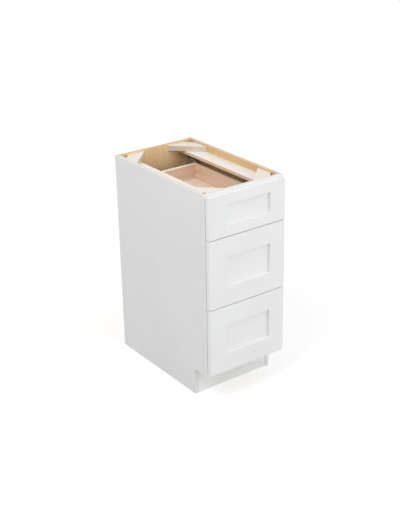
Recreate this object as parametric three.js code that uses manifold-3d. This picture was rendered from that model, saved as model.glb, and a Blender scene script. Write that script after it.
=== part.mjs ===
// Three-drawer base cabinet for a fitted kitchen, 15 in wide: a plywood case with a painted face
// frame, open at the top for a worktop, and three dovetailed drawers with frame-and-panel fronts,
// each on a pair of three-part telescopic slides.
// Millimetres. +X is to the right of someone facing the drawers, +Y to the wall, +Z up.
// The origin is on the floor, in the middle of the cabinet's width and depth.
import * as THREE from 'three'
import { mergeVertices } from 'three/addons/utils/BufferGeometryUtils.js'
import Module from 'manifold-3d'

const wasm = await Module()
wasm.setup()

// Overall sizes. The case's depth is measured from the wall to the face frame's front, so the
// drawer fronts stand proud of it.
const cabinetWidth = 381
const cabinetHeight = 876.3
const caseDepth = 609.6
const toeKickHeight = 114.3
const toeKickDepth = 76.2

// Fits: a glued or screwed face, and a board in its groove or socket
const glueGap = 0.1
const slotGap = 0.3

// Plywood case
const sidePly = 15.875
const backPly = 12.7
const floorPly = 12.7
const kickPly = 15.875
const backInset = 6.35
const caseGroove = 6.35
const kickSetback = 3

// Face frame of solid wood, with tenoned rails
const frameThickness = 19.05
const frameStile = 38.1
const frameTopRail = 38.1
const frameMiddleRail = 38.1
const frameBottomRail = 38.1
const tenonLength = 12.7
const tenonThickness = 6.35
const tenonShoulder = 5
const frameEase = 0.8

// Corner braces and the kicker rails under them
const bracesBelowTop = 6.35
const braceLeg = 117
const braceWidth = 57.15
const braceThickness = 22.225
const kickerWidth = 63.5
const kickerThickness = 12.7

// Drawer fronts
const frontThickness = 19.05
const bumperGap = 1.5
const frontReveal = 6.35
const frontGap = 3.175
const topFrontHeight = 171.45
const frontStile = 76.2
const topFrontRail = 46
const deepFrontRail = 84
const frontPanelRecess = 9.5
const frontPanelThickness = 6.35
const frontPanelGroove = 9.5
const frontBevel = 3
const frontEase = 1.2

// Drawer boxes
const boxPly = 15.875
const boxClearBelow = 9.525
const topBoxClearAbove = 36.5
const deepBoxClearAbove = 38.1
const boxBottomPly = 6.35
const boxBottomRaise = 6.35
const boxGroove = 6.35
const boxTopRound = 3
const tailPitch = 25.4
const tailWidth = 15
const tailLength = 10.5
const tailAngle = THREE.MathUtils.degToRad(10)

// Telescopic slides, roll-formed from sheet
const slideThickness = 12.7
const slideHeight = 45.7
const slideSheet = 1.2
const slideBend = 1.8
const ballRace = 3.4
const slideLip = 2.4
const slideWebGap = 1.8
const slideAboveBoxBottom = 38.1
const slideRearSpace = 82.55
const middleShorter = 20
const drawerMemberShorter = 10
const slideSetback = 2
const slideScrewHole = 4.5
const slideAccessHole = 12
const slideHoleInset = 35
const bracketHeight = 80
const bracketLap = 45
const bracketFlare = 14
const bracketSheet = 1.5
const bracketSideGap = 2
const bracketHoleSpacing = 50

// Places that follow from the sizes
const halfWidth = cabinetWidth / 2
const innerHalf = halfWidth - sidePly
const openingHalf = halfWidth - frameStile
const boxHalf = openingHalf - slideThickness
const cabinetDepth = caseDepth + bumperGap + frontThickness
const wallY = cabinetDepth / 2
const frontY = -cabinetDepth / 2
const frontBackY = frontY + frontThickness
const frameFrontY = frontBackY + bumperGap
const frameBackY = frameFrontY + frameThickness
const kickFaceY = frameFrontY + toeKickDepth
const backInnerY = wallY - backInset - backPly
const floorTop = toeKickHeight + frameBottomRail
const floorUnder = floorTop - floorPly
const braceTop = cabinetHeight - bracesBelowTop
const braceUnder = braceTop - braceThickness
const boxLength = backInnerY - slideRearSpace - frameFrontY

const paint = { color: 0xf3f3f2, roughness: 0.42, metalness: 0 }
const bareWood = { color: 0xeee4d6, roughness: 0.7, metalness: 0 }
const birchPly = { color: 0xcaa878, roughness: 0.6, metalness: 0 }
const drawerWood = { color: 0xd9b797, roughness: 0.55, metalness: 0 }
const zincSteel = { color: 0x8b9096, roughness: 0.35, metalness: 0.9 }

// A closed mesh as a solid for cutting and joining, and back again
function solidOf(geometry) {
  const bare = geometry.clone()
  bare.deleteAttribute('normal')
  bare.deleteAttribute('uv')
  const merged = mergeVertices(bare, 1e-4)
  const vertProperties = new Float32Array(merged.attributes.position.array)
  const triVerts = new Uint32Array(merged.index.array)
  return new wasm.Manifold(new wasm.Mesh({ numProp: 3, vertProperties, triVerts }))
}

function geometryOf(solid) {
  const mesh = solid.getMesh()
  const geometry = new THREE.BufferGeometry()
  geometry.setAttribute('position', new THREE.BufferAttribute(mesh.vertProperties, 3))
  geometry.setIndex(new THREE.BufferAttribute(mesh.triVerts, 1))
  const faceted = geometry.toNonIndexed()
  faceted.computeVertexNormals()
  return faceted
}

// A box from its lowest corner to its highest one
function block(low, high) {
  const size = high.map((value, axis) => value - low[axis])
  const geometry = new THREE.BoxGeometry(...size)
  geometry.translate(...low.map((value, axis) => value + size[axis] / 2))
  return geometry
}

function outline(points) {
  return new THREE.Shape(points.map(([x, y]) => new THREE.Vector2(x, y)))
}

// A section drawn in the plane across an axis, drawn out along it from start to end.
// Across x it is drawn in y and z, across y in x and z, and across z in x and y.
const drawnAlong = {
  x: [[0, 1, 0], [0, 0, 1], [1, 0, 0]],
  y: [[1, 0, 0], [0, 0, 1], [0, -1, 0]],
  z: [[1, 0, 0], [0, 1, 0], [0, 0, 1]]
}

function prism(section, axis, start, end) {
  const geometry = new THREE.ExtrudeGeometry(section, { depth: end - start, bevelEnabled: false })
  const columns = drawnAlong[axis].map((column) => new THREE.Vector3(...column))
  geometry.applyMatrix4(new THREE.Matrix4().makeBasis(...columns))
  const shift = columns[2].clone().multiplyScalar(axis === 'y' ? -end : start)
  geometry.translate(shift.x, shift.y, shift.z)
  return geometry
}

function addPiece(parent, name, geometry, finish) {
  const mesh = new THREE.Mesh(geometry, new THREE.MeshStandardMaterial(finish))
  mesh.name = name
  parent.add(mesh)
  return mesh
}

const sides = [['left', -1], ['right', 1]]
const group = new THREE.Group()
const carcass = new THREE.Group()
group.add(carcass)

// The back and floor run in grooves in the sides
const groovedHalf = innerHalf + caseGroove - slotGap
const backLow = [-groovedHalf, backInnerY, 0]
const backHigh = [groovedHalf, backInnerY + backPly, cabinetHeight]
const floorLow = [-groovedHalf, frameBackY + glueGap, floorUnder]
const floorHigh = [groovedHalf, backInnerY - glueGap, floorTop]

function grownBlock(low, high, gap) {
  return block(low.map((value) => value - gap), high.map((value) => value + gap))
}

// A side: one sheet notched for the toe kick, grooved on its inner face
function sidePanel(hand) {
  const sheet = outline([
    [kickFaceY, 0],
    [wallY, 0],
    [wallY, cabinetHeight],
    [frameBackY + glueGap, cabinetHeight],
    [frameBackY + glueGap, toeKickHeight],
    [kickFaceY, toeKickHeight]
  ])
  const outer = hand * halfWidth
  const inner = hand * innerHalf
  const panel = solidOf(prism(sheet, 'x', Math.min(outer, inner), Math.max(outer, inner)))
  const backGroove = solidOf(grownBlock(backLow, backHigh, slotGap))
  const floorGroove = solidOf(grownBlock(floorLow, floorHigh, slotGap))
  return geometryOf(panel.subtract(backGroove).subtract(floorGroove))
}

for (const [side, hand] of sides) {
  addPiece(carcass, `side_panel_${side}`, sidePanel(hand), paint)
}
addPiece(carcass, 'back_panel', block(backLow, backHigh), birchPly)
addPiece(carcass, 'bottom_panel', block(floorLow, floorHigh), birchPly)

const kickBoard = block(
  [-innerHalf + glueGap, kickFaceY + kickSetback, 0],
  [innerHalf - glueGap, kickFaceY + kickSetback + kickPly, floorUnder - glueGap]
)
addPiece(carcass, 'toe_kick_board', kickBoard, paint)

// Corner braces: a board cut to 45 degrees at both ends, with its corner lost in the case corner
function cornerBrace(hand, end) {
  const cornerX = hand * (innerHalf - glueGap)
  const cornerY = end === 'back' ? backInnerY - glueGap : frameBackY + glueGap
  const intoCase = end === 'back' ? -1 : 1
  const clip = braceLeg - braceWidth * Math.SQRT2
  const board = outline([
    [cornerX - hand * clip, cornerY],
    [cornerX - hand * braceLeg, cornerY],
    [cornerX, cornerY + intoCase * braceLeg],
    [cornerX, cornerY + intoCase * clip]
  ])
  return prism(board, 'z', braceUnder, braceTop)
}

// Kicker rails: flat boards under the braces that stop the top drawer tipping
function kickerRail(hand) {
  const outer = hand * (innerHalf - glueGap)
  const inner = hand * (innerHalf - glueGap - kickerWidth)
  const top = braceUnder - glueGap
  return block(
    [Math.min(outer, inner), frameBackY + glueGap, top - kickerThickness],
    [Math.max(outer, inner), backInnerY - glueGap, top]
  )
}

for (const [side, hand] of sides) {
  for (const end of ['front', 'back']) {
    addPiece(carcass, `corner_brace_${end}_${side}`, cornerBrace(hand, end), bareWood)
  }
  addPiece(carcass, `kicker_rail_${side}`, kickerRail(hand), bareWood)
}

// Heights of the drawer fronts, and of the face frame's rails and openings behind them.
// The two deep fronts share what the top one leaves.
const frontsTop = cabinetHeight - frontReveal
const frontsBottom = toeKickHeight + frontReveal
const deepFrontHeight = (frontsTop - frontsBottom - topFrontHeight - 2 * frontGap) / 2
const upperGapZ = frontsTop - topFrontHeight - frontGap / 2
const lowerGapZ = upperGapZ - frontGap - deepFrontHeight
const rails = [
  { name: 'top', low: cabinetHeight - frameTopRail, high: cabinetHeight },
  { name: 'upper', low: upperGapZ - frameMiddleRail / 2, high: upperGapZ + frameMiddleRail / 2 },
  { name: 'lower', low: lowerGapZ - frameMiddleRail / 2, high: lowerGapZ + frameMiddleRail / 2 },
  { name: 'bottom', low: toeKickHeight, high: toeKickHeight + frameBottomRail }
]

// A bar's section with its long edges eased
function easedBar(lowA, highA, lowB, highB, ease) {
  return outline([
    [lowA + ease, lowB],
    [highA - ease, lowB],
    [highA, lowB + ease],
    [highA, highB - ease],
    [highA - ease, highB],
    [lowA + ease, highB],
    [lowA, highB - ease],
    [lowA, lowB + ease]
  ])
}

const tenonY = (frameFrontY + frameBackY) / 2
function tenon(rail, reach, gap) {
  return block(
    [-reach - gap, tenonY - tenonThickness / 2 - gap, rail.low + tenonShoulder - gap],
    [reach + gap, tenonY + tenonThickness / 2 + gap, rail.high - tenonShoulder + gap]
  )
}

function frameStilePiece(hand) {
  const outer = hand * halfWidth
  const inner = hand * openingHalf
  const bar = easedBar(Math.min(outer, inner), Math.max(outer, inner), frameFrontY, frameBackY, frameEase)
  let stile = solidOf(prism(bar, 'z', toeKickHeight, cabinetHeight))
  for (const rail of rails) {
    stile = stile.subtract(solidOf(tenon(rail, openingHalf + tenonLength - slotGap, slotGap)))
  }
  return geometryOf(stile)
}

function frameRailPiece(rail) {
  const bar = easedBar(frameFrontY, frameBackY, rail.low, rail.high, frameEase)
  const body = solidOf(prism(bar, 'x', -openingHalf + glueGap, openingHalf - glueGap))
  return geometryOf(body.add(solidOf(tenon(rail, openingHalf + tenonLength - 2 * slotGap, 0))))
}

for (const [side, hand] of sides) {
  addPiece(carcass, `frame_stile_${side}`, frameStilePiece(hand), paint)
}
for (const rail of rails) {
  addPiece(carcass, `frame_rail_${rail.name}`, frameRailPiece(rail), paint)
}

// Drawers from the top down: the front, the frame opening behind it and the box in the opening
const drawers = [
  { name: 'top', low: frontsTop - topFrontHeight, high: frontsTop, rail: topFrontRail },
  { name: 'middle', low: lowerGapZ + frontGap / 2, high: upperGapZ - frontGap / 2, rail: deepFrontRail },
  { name: 'bottom', low: frontsBottom, high: lowerGapZ - frontGap / 2, rail: deepFrontRail }
]
drawers.forEach((drawer, index) => {
  drawer.openingHigh = rails[index].low
  drawer.openingLow = rails[index + 1].high
  drawer.boxLow = drawer.openingLow + boxClearBelow
})
const [topDrawer, ...deepDrawers] = drawers
const deepOpening = Math.min(...deepDrawers.map((drawer) => drawer.openingHigh - drawer.openingLow))
topDrawer.boxHeight = topDrawer.openingHigh - topDrawer.boxLow - topBoxClearAbove
for (const drawer of deepDrawers) {
  drawer.boxHeight = deepOpening - boxClearBelow - deepBoxClearAbove
}

// Turns of a quarter round, from its start to its end
const quarterRound = [0, 1, 2, 3].map((step) => (step / 3) * (Math.PI / 2))

function roundedOuterEdge(radius) {
  return quarterRound.map((turn) => ({
    edge: 'outer',
    inset: radius * (1 - Math.sin(turn)),
    depth: radius * (1 - Math.cos(turn))
  }))
}

// One section swept round the four sides of a rectangle, with mitred corners. A point of the
// section is set in from the ring's outer edge or from its inner one, at a depth below its face.
// The ring's place turns a point across, along and below the face into x, y and z.
function sweptRing(section, ring) {
  const corners = [[-1, -1], [1, -1], [1, 1], [-1, 1]]
  const positions = []
  for (const [signAcross, signAlong] of corners) {
    for (const point of section) {
      const insetAcross = point.inset + (point.edge === 'inner' ? ring.barAcross : 0)
      const insetAlong = point.inset + (point.edge === 'inner' ? ring.barAlong : 0)
      const across = signAcross * (ring.halfAcross - insetAcross)
      const along = signAlong * (ring.halfAlong - insetAlong)
      positions.push(...ring.place(across, along, point.depth))
    }
  }
  const index = []
  const count = section.length
  for (let corner = 0; corner < corners.length; corner++) {
    const next = (corner + 1) % corners.length
    for (let step = 0; step < count; step++) {
      const after = (step + 1) % count
      const a = corner * count + step
      const b = corner * count + after
      const c = next * count + after
      const d = next * count + step
      index.push(a, b, c, a, c, d)
    }
  }
  const geometry = new THREE.BufferGeometry()
  geometry.setAttribute('position', new THREE.Float32BufferAttribute(positions, 3))
  geometry.setIndex(index)
  const faceted = geometry.toNonIndexed()
  faceted.computeVertexNormals()
  return faceted
}

// The frame of a drawer front: its moulded section, grooved for the panel
function frontFrameSection() {
  const grooveBack = frontPanelRecess + frontPanelThickness + slotGap
  return [
    { edge: 'inner', inset: 0, depth: frontPanelRecess },
    { edge: 'inner', inset: -frontBevel, depth: 0 },
    ...roundedOuterEdge(frontEase),
    { edge: 'outer', inset: 0, depth: frontThickness },
    { edge: 'inner', inset: 0, depth: frontThickness },
    { edge: 'inner', inset: 0, depth: grooveBack },
    { edge: 'inner', inset: -frontPanelGroove, depth: grooveBack },
    { edge: 'inner', inset: -frontPanelGroove, depth: frontPanelRecess }
  ]
}

function frontFrame(drawer) {
  const middleZ = (drawer.high + drawer.low) / 2
  return sweptRing(frontFrameSection(), {
    halfAcross: halfWidth - frontReveal,
    halfAlong: (drawer.high - drawer.low) / 2,
    barAcross: frontStile,
    barAlong: drawer.rail,
    place: (across, along, depth) => [across, frontY + depth, middleZ + along]
  })
}

function frontPanel(drawer) {
  const reach = frontPanelGroove - slotGap
  const halfX = halfWidth - frontReveal - frontStile + reach
  const face = frontY + frontPanelRecess + slotGap / 2
  return block(
    [-halfX, face, drawer.low + drawer.rail - reach],
    [halfX, face + frontPanelThickness, drawer.high - drawer.rail + reach]
  )
}

// Dovetails: tails on the ends of the sides, in sockets that stop short of the outer faces
const boxFrontY = frontBackY + glueGap
const boxBackY = boxFrontY + boxLength
const boxInnerHalf = boxHalf - boxPly
const frontShoulderY = boxFrontY + boxPly
const backShoulderY = boxBackY - boxPly

function tailCentres(drawer) {
  const count = Math.max(1, Math.round(drawer.boxHeight / tailPitch))
  const pitch = drawer.boxHeight / count
  return Array.from({ length: count }, (_, tail) => drawer.boxLow + pitch * (tail + 0.5))
}

// One tail's four corners in y and z, from its neck at the shoulder out to its end and back
function tailCorners(shoulderY, outward, centre, grow) {
  const neck = tailWidth / 2 - tailLength * Math.tan(tailAngle) + grow
  const tip = tailWidth / 2 + grow
  const endY = shoulderY + outward * (tailLength + grow)
  return [
    [shoulderY, centre - outward * neck],
    [endY, centre - outward * tip],
    [endY, centre + outward * tip],
    [shoulderY, centre + outward * neck]
  ]
}

function boxBottomBlock(drawer, grow) {
  const reach = boxGroove - slotGap + grow
  return block(
    [-boxInnerHalf - reach, frontShoulderY - reach, drawer.boxLow + boxBottomRaise - grow],
    [boxInnerHalf + reach, backShoulderY + reach, drawer.boxLow + boxBottomRaise + boxBottomPly + grow]
  )
}

// The box's four walls as one ring with rounded top edges, which each board is trimmed to
function boxWallsRing(drawer) {
  const middleY = (boxFrontY + boxBackY) / 2
  const high = drawer.boxLow + drawer.boxHeight
  const roundedInnerEdge = quarterRound.map((turn) => ({
    edge: 'inner',
    inset: -boxTopRound * (1 - Math.cos(turn)),
    depth: boxTopRound * (1 - Math.sin(turn))
  }))
  const section = [
    ...roundedInnerEdge,
    ...roundedOuterEdge(boxTopRound),
    { edge: 'outer', inset: 0, depth: drawer.boxHeight },
    { edge: 'inner', inset: 0, depth: drawer.boxHeight }
  ]
  return sweptRing(section, {
    halfAcross: boxHalf,
    halfAlong: boxLength / 2,
    barAcross: boxPly,
    barAlong: boxPly,
    place: (across, along, depth) => [across, middleY + along, high - depth]
  })
}

function boxSide(drawer, hand) {
  const low = drawer.boxLow
  const high = low + drawer.boxHeight
  const centres = tailCentres(drawer)
  const back = centres.flatMap((centre) => tailCorners(backShoulderY, 1, centre, 0))
  const front = centres.toReversed().flatMap((centre) => tailCorners(frontShoulderY, -1, centre, 0))
  const board = outline([
    [frontShoulderY, low],
    [backShoulderY, low],
    ...back,
    [backShoulderY, high],
    [frontShoulderY, high],
    ...front
  ])
  const outer = hand * boxHalf
  const inner = hand * boxInnerHalf
  const side = solidOf(prism(board, 'x', Math.min(outer, inner), Math.max(outer, inner)))
  const trimmed = side.intersect(solidOf(boxWallsRing(drawer)))
  return geometryOf(trimmed.subtract(solidOf(boxBottomBlock(drawer, slotGap))))
}

// The box's front or back board, with a socket for every tail and pins left between them
function boxEnd(drawer, end) {
  const outward = end === 'back' ? 1 : -1
  const shoulderY = end === 'back' ? backShoulderY : frontShoulderY
  const outerY = shoulderY + outward * boxPly
  const faceY = shoulderY + outward * glueGap
  const low = drawer.boxLow
  const high = low + drawer.boxHeight
  let board = solidOf(block(
    [-boxHalf, Math.min(faceY, outerY), low],
    [boxHalf, Math.max(faceY, outerY), high]
  ))
  for (const centre of tailCentres(drawer)) {
    const corners = tailCorners(shoulderY, outward, centre, slotGap)
    const socket = outline(corners)
    const socketReach = boxPly + slotGap
    board = board.subtract(solidOf(prism(socket, 'x', -boxHalf - slotGap, -boxHalf + socketReach)))
    board = board.subtract(solidOf(prism(socket, 'x', boxHalf - socketReach, boxHalf + slotGap)))
  }
  const trimmed = board.intersect(solidOf(boxWallsRing(drawer)))
  return geometryOf(trimmed.subtract(solidOf(boxBottomBlock(drawer, slotGap))))
}

// Slides. Distances across a slide are measured from the cabinet's side of it to the drawer's.
const webPlace = {
  cabinet: glueGap + slideSheet / 2,
  middle: glueGap + slideSheet + slideWebGap + slideSheet / 2,
  drawer: slideThickness - glueGap - slideSheet / 2
}
const flangeHeight = {
  cabinet: slideHeight / 2 - slideSheet / 2,
  middle: slideHeight / 2 - slideSheet / 2 - ballRace - slideSheet,
  drawer: slideHeight / 2 - slideSheet / 2 - 2 * (ballRace + slideSheet)
}
const flangeTip = {
  cabinet: slideThickness - slideSheet - slideWebGap,
  middle: slideThickness - slideSheet - slideWebGap / 2,
  drawer: webPlace.middle + slideSheet + slideWebGap
}

// The middle line of a channel's sheet, from one flange's lip round the web to the other's
function channelLine(member) {
  const web = webPlace[member]
  const tip = flangeTip[member]
  const flange = flangeHeight[member]
  const toTip = Math.sign(tip - web)
  const line = new THREE.Path()
  line.moveTo(tip, flange - slideLip)
  line.lineTo(tip, flange - slideBend)
  line.quadraticCurveTo(tip, flange, tip - toTip * slideBend, flange)
  line.lineTo(web + toTip * slideBend, flange)
  line.quadraticCurveTo(web, flange, web, flange - slideBend)
  line.lineTo(web, -flange + slideBend)
  line.quadraticCurveTo(web, -flange, web + toTip * slideBend, -flange)
  line.lineTo(tip - toTip * slideBend, -flange)
  line.quadraticCurveTo(tip, -flange, tip, -flange + slideBend)
  line.lineTo(tip, -flange + slideLip)
  return line.getPoints(3)
}

// A sheet of even thickness on both sides of its middle line
function sheetOutline(points, thickness) {
  const offsets = points.map((point, index) => {
    const before = points[Math.max(index - 1, 0)]
    const after = points[Math.min(index + 1, points.length - 1)]
    const arriving = point.clone().sub(index === 0 ? point.clone().multiplyScalar(2).sub(after) : before)
    const leaving = index === points.length - 1 ? arriving.clone() : after.clone().sub(point)
    arriving.normalize()
    leaving.normalize()
    const along = arriving.clone().add(leaving).normalize()
    const normal = new THREE.Vector2(-along.y, along.x)
    return normal.multiplyScalar(thickness / 2 / along.dot(leaving))
  })
  const left = points.map((point, index) => point.clone().add(offsets[index]))
  const right = points.map((point, index) => point.clone().sub(offsets[index]))
  return [...left, ...right.toReversed()]
}

function channel(member, hand, middleZ, startY, endY) {
  const sheet = sheetOutline(channelLine(member), slideSheet)
  const section = outline(sheet.map((point) => [hand * (openingHalf - point.x), middleZ + point.y]))
  return prism(section, 'y', startY, endY)
}

// A round hole's cutter, drilled along x or y through a place in a sheet
function drill(axis, place, diameter, length) {
  const cutter = new THREE.CylinderGeometry(diameter / 2, diameter / 2, length, 12)
  if (axis === 'x') cutter.rotateZ(Math.PI / 2)
  cutter.translate(...place)
  return cutter
}

// Three holes through a channel's web: for screws, or in the middle member to reach them. The
// cabinet member's front one is for a screw into the stile's edge.
function drilledWeb(member, sheet, hand, middleZ, startY, endY) {
  const webX = hand * (openingHalf - webPlace[member])
  const diameter = member === 'middle' ? slideAccessHole : slideScrewHole
  const frontInset = member === 'cabinet' ? frameThickness / 2 - slideSetback : slideHoleInset
  let drilled = sheet
  for (const y of [startY + frontInset, (startY + endY) / 2, endY - slideHoleInset]) {
    drilled = drilled.subtract(solidOf(drill('x', [webX, y, middleZ], diameter, 2 * slideSheet)))
  }
  return drilled
}

function drilledChannel(member, hand, middleZ, startY, endY) {
  const sheet = solidOf(channel(member, hand, middleZ, startY, endY))
  return geometryOf(drilledWeb(member, sheet, hand, middleZ, startY, endY))
}

const slideStartY = frameFrontY + slideSetback
const slideEndY = slideStartY + boxLength - slideSetback

// The cabinet member ends in a bracket that reaches back to the back panel and is screwed to it
function cabinetMember(hand, middleZ) {
  const footY = backInnerY - glueGap
  const webOuter = openingHalf - glueGap
  const webInner = webOuter - slideSheet
  const flangeOuter = innerHalf - bracketSideGap
  const lapHalf = slideHeight / 2 - slideBend
  const arm = outline([
    [slideEndY - bracketLap, middleZ - lapHalf],
    [slideEndY, middleZ - lapHalf],
    [slideEndY + bracketFlare, middleZ - bracketHeight / 2],
    [footY, middleZ - bracketHeight / 2],
    [footY, middleZ + bracketHeight / 2],
    [slideEndY + bracketFlare, middleZ + bracketHeight / 2],
    [slideEndY, middleZ + lapHalf],
    [slideEndY - bracketLap, middleZ + lapHalf]
  ])
  const armX = [hand * webOuter, hand * webInner]
  const footX = [hand * webInner, hand * flangeOuter]
  const foot = block(
    [Math.min(...footX), footY - bracketSheet, middleZ - bracketHeight / 2],
    [Math.max(...footX), footY, middleZ + bracketHeight / 2]
  )
  let bracket = solidOf(prism(arm, 'x', Math.min(...armX), Math.max(...armX))).add(solidOf(foot))
  const holeX = (footX[0] + footX[1]) / 2
  for (const rise of [-bracketHoleSpacing / 2, bracketHoleSpacing / 2]) {
    const place = [holeX, footY - bracketSheet / 2, middleZ + rise]
    bracket = bracket.subtract(solidOf(drill('y', place, slideScrewHole, 2 * bracketSheet)))
  }
  const sheet = solidOf(channel('cabinet', hand, middleZ, slideStartY, slideEndY)).add(bracket)
  return geometryOf(drilledWeb('cabinet', sheet, hand, middleZ, slideStartY, slideEndY))
}

for (const drawer of drawers) {
  const name = drawer.name
  const slideZ = drawer.boxLow + slideAboveBoxBottom
  const middleEndY = slideStartY + boxLength - slideSetback - middleShorter
  const drawerEndY = slideStartY + boxLength - slideSetback - drawerMemberShorter
  const slidingDrawer = new THREE.Group()
  const slidingMiddle = new THREE.Group()
  group.add(slidingDrawer, slidingMiddle)

  addPiece(slidingDrawer, `${name}_drawer_front_frame`, frontFrame(drawer), paint)
  addPiece(slidingDrawer, `${name}_drawer_front_panel`, frontPanel(drawer), paint)
  addPiece(slidingDrawer, `${name}_drawer_box_front`, boxEnd(drawer, 'front'), drawerWood)
  addPiece(slidingDrawer, `${name}_drawer_box_back`, boxEnd(drawer, 'back'), drawerWood)
  addPiece(slidingDrawer, `${name}_drawer_bottom`, boxBottomBlock(drawer, 0), drawerWood)
  for (const [side, hand] of sides) {
    const drawerMember = drilledChannel('drawer', hand, slideZ, slideStartY, drawerEndY)
    const middleMember = drilledChannel('middle', hand, slideZ, slideStartY, middleEndY)
    addPiece(slidingDrawer, `${name}_drawer_side_${side}`, boxSide(drawer, hand), drawerWood)
    addPiece(slidingDrawer, `${name}_slide_drawer_member_${side}`, drawerMember, zincSteel)
    addPiece(slidingMiddle, `${name}_slide_middle_member_${side}`, middleMember, zincSteel)
    addPiece(carcass, `${name}_slide_cabinet_member_${side}`, cabinetMember(hand, slideZ), zincSteel)
  }
}

export default group
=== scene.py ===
# A 15 in wide kitchen base cabinet with three drawers, finished piece by piece in the order in
# which it is put together. Metres, +Z up, the drawers open towards -Y, the origin is on the floor.
import math

import bpy
from mathutils import Matrix, Vector


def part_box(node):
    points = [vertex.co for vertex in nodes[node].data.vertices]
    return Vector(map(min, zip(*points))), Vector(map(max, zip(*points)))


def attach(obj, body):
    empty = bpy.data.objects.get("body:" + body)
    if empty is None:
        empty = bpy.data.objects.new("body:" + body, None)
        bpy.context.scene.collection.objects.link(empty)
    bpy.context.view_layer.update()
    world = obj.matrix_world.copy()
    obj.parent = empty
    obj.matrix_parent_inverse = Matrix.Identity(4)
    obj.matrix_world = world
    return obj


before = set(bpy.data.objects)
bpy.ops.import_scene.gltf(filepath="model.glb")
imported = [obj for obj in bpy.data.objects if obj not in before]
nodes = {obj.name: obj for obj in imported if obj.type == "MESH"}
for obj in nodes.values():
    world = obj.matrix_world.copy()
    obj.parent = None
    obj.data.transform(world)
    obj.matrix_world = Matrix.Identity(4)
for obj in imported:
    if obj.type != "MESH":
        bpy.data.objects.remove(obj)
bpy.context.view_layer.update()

# ---- The view of the cabinet ----
# Seen from its left front and from above, through a long lens that stands about 4 m away, with the
# open top, the left side and the three drawer fronts in sight.
PICTURE_HEIGHT = 532
FOCAL_LENGTH = 1038.69
STAND = Vector((-2.28038, -3.16627, 2.21344))
turn, tilt, roll = (math.radians(angle) for angle in (35.76, 24.48, -1.10))
looking = Vector((
    math.sin(turn) * math.cos(tilt),
    math.cos(turn) * math.cos(tilt),
    -math.sin(tilt),
))
level_right = looking.cross(Vector((0, 0, 1))).normalized()
level_up = level_right.cross(looking)
right = math.cos(roll) * level_right + math.sin(roll) * level_up
up = math.cos(roll) * level_up - math.sin(roll) * level_right
lens = bpy.data.cameras.new("front_left_view")
lens.sensor_width = 36
lens.lens = lens.sensor_width * FOCAL_LENGTH / PICTURE_HEIGHT
lens.clip_end = 200
camera = bpy.data.objects.new("front_left_view", lens)
aim = Matrix((right, up, -looking)).transposed().to_4x4()
camera.matrix_world = Matrix.Translation(STAND) @ aim
bpy.context.scene.collection.objects.link(camera)
bpy.context.scene.camera = camera

# ---- Side panels ----
# Two sheets of 16 mm birch plywood, notched for the toes and grooved for the back and the floor.
# They are sprayed white outside and on their front edges, and only clear-coated inside. Their top
# and rear edges are raw and show the layers, paler on the left one than on the right.
SIDE_THICKNESS = 0.015875
CASE_HALF = 0.1905
TOE_NOTCH_TOP = 0.1143
TOE_BOARD_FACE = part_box("toe_kick_board")[0].y
SPRAY_REACH = 0.0014
SPRAY_RAGGED = 0.0010
SHARP_ANGLE = math.radians(40)


def tone(red, green, blue):
    """A colour as an eye reads it, from 0 to 255, as the light that it reflects."""
    def reflected(level):
        share = level / 255
        return share / 12.92 if share <= 0.04045 else ((share + 0.055) / 1.055) ** 2.4
    return (reflected(red), reflected(green), reflected(blue), 1)


def step(tree, kind, sockets=None, **settings):
    """One step of a finish, with what goes into its sockets."""
    made = tree.nodes.new("ShaderNode" + kind)
    for name, value in settings.items():
        setattr(made, name, value)
    for name, value in (sockets or {}).items():
        if isinstance(value, bpy.types.NodeSocket):
            tree.links.new(value, made.inputs[name])
        else:
            made.inputs[name].default_value = value
    return made


def calc(tree, operation, first, second=0.0, third=0.0):
    """A sum of one, two or three values."""
    return step(tree, "Math", {0: first, 1: second, 2: third}, operation=operation).outputs[0]


def axes(tree, vector):
    """The x, y and z of a place or of a face's direction."""
    return step(tree, "SeparateXYZ", {0: vector}).outputs


def fade(tree, value, low, high, start=0.0, end=1.0):
    """A value eased from start, where it is at its low, to end, where it is at its high."""
    sockets = {"Value": value, "From Min": low, "From Max": high, "To Min": start, "To Max": end}
    return step(tree, "MapRange", sockets, interpolation_type="SMOOTHSTEP").outputs[0]


def tint(tree, share, first, second):
    """The first colour turning into the second as the share goes from 0 to 1."""
    return step(tree, "Mix", {0: share, 6: first, 7: second}, data_type="RGBA").outputs[2]


def between(tree, share, first, second):
    """The first value turning into the second as the share goes from 0 to 1."""
    return step(tree, "Mix", {0: share, 2: first, 3: second}, data_type="FLOAT").outputs[0]


def mottle(tree, place, scale, detail=2.0, distortion=0.0):
    """Soft uneven patches, from 0 to 1, finer as the scale goes up."""
    sockets = {"Vector": place, "Scale": scale, "Detail": detail, "Distortion": distortion}
    return step(tree, "TexNoise", sockets).outputs[0]


def drawn_out(tree, place, along, shrink, seed, turned=0.0):
    """The place on a board with the lengthwise direction shrunk, so that marks run along it."""
    stretch = [1.0, 1.0, 1.0]
    stretch["xyz".index(along)] = shrink
    lined_up = step(tree, "Mapping", {"Vector": place, "Rotation": (0, 0, -turned)}).outputs[0]
    shift = (seed * 0.37, seed * 0.61, seed * 0.83)
    sockets = {"Vector": lined_up, "Location": shift, "Scale": stretch}
    return step(tree, "Mapping", sockets).outputs[0]


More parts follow.
